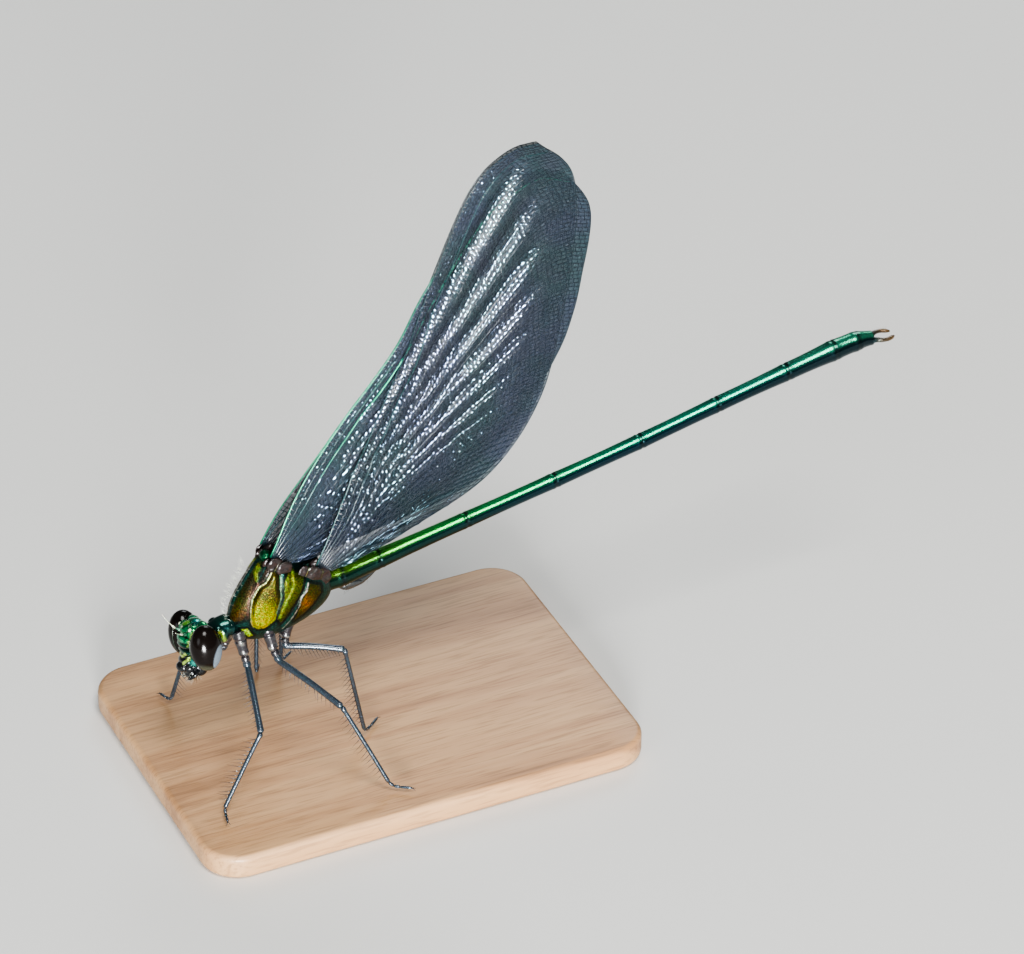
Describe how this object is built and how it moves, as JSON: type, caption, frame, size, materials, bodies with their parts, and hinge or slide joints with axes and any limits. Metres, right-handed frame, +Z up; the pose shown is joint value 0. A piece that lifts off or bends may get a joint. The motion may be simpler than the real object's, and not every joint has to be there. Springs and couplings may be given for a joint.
{
  "type": "damselfly model",
  "caption": "Life-size still model of a metallic green demoiselle damselfly, wings closed over its back, standing on a small plain base.",
  "frame": {"origin": "centre of the base's underside", "axes": "+Z up, +X towards the damselfly's tail, +Y to its right"},
  "size_m": [0.0624, 0.026, 0.0489],
  "materials": {
    "shell": "gloss",
    "thorax": "satin",
    "eye": "polished",
    "abdomen": "gloss",
    "dark": "satin",
    "leg": "satin",
    "wing": "gloss",
    "stand": "satin"
  },
  "bodies": {
    "root": {"abdomen_1": "abdomen", "abdomen_10": "abdomen", "abdomen_2": "abdomen", "abdomen_3": "abdomen", "abdomen_4": "abdomen", "abdomen_5": "abdomen", "abdomen_6": "abdomen", "abdomen_7": "abdomen", "abdomen_8": "abdomen", "abdomen_9": "abdomen", "antenna_left": "dark", "antenna_right": "dark", "cercus_left": "dark", "cercus_right": "dark", "coxa_fore_left": "leg", "coxa_fore_right": "leg", "coxa_hind_left": "leg", "coxa_hind_right": "leg", "coxa_mid_left": "leg", "coxa_mid_right": "leg", "eye_left": "eye", "eye_right": "eye", "femur_fore_left": "leg", "femur_fore_right": "leg", "femur_hind_left": "leg", "femur_hind_right": "leg", "femur_mid_left": "leg", "femur_mid_right": "leg", "forewing_left": "wing", "forewing_right": "wing", "genitalia": "dark", "head": "shell", "hindwing_left": "wing", "hindwing_right": "wing", "mouthparts": "dark", "prothorax": "shell", "stand_base": "stand", "synthorax": "thorax", "tarsus_fore_left": "leg", "tarsus_fore_right": "leg", "tarsus_hind_left": "leg", "tarsus_hind_right": "leg", "tarsus_mid_left": "leg", "tarsus_mid_right": "leg", "tibia_fore_left": "leg", "tibia_fore_right": "leg", "tibia_hind_left": "leg", "tibia_hind_right": "leg", "tibia_mid_left": "leg", "tibia_mid_right": "leg"}
  },
  "joints": []
}
